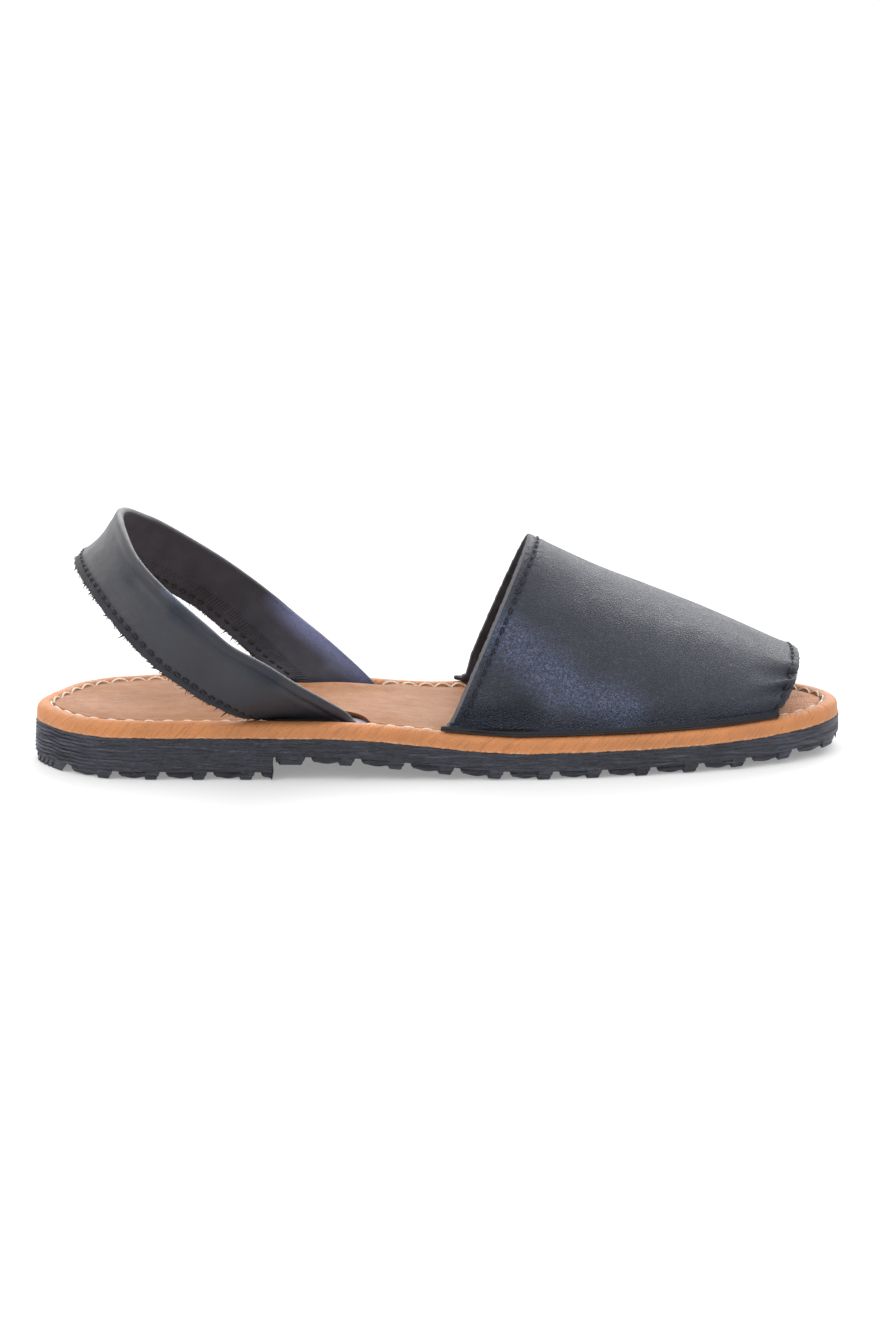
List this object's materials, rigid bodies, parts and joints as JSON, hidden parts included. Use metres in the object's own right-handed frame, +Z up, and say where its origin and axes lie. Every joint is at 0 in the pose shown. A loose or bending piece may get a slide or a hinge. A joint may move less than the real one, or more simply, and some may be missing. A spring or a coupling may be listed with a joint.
{
  "type": "slingback sandal",
  "caption": "Right flat slingback sandal: open-toe leather vamp and folded heel strap on a leather-edged footbed with a low-heeled rubber sole.",
  "frame": {"origin": "bottom centre of the whole sandal's box, on the ground", "axes": "+X from the heel to the toe, +Y towards the wearer's inner (medial) side, +Z up"},
  "size_m": [0.281, 0.0996, 0.0875],
  "materials": {
    "sole_rubber": "matte, finely ribbed",
    "core_felt": "fibrous",
    "edge_leather": "satin, undyed tan",
    "sock_leather": "matte, undyed tan",
    "vamp_leather": "black, satin",
    "strap_leather": "black, satin"
  },
  "bodies": {
    "root": {"outsole": "sole_rubber", "midsole_core": "core_felt", "edge_wrap": "edge_leather", "insole_sock": "sock_leather", "vamp": "vamp_leather", "heel_strap": "strap_leather"}
  },
  "joints": []
}
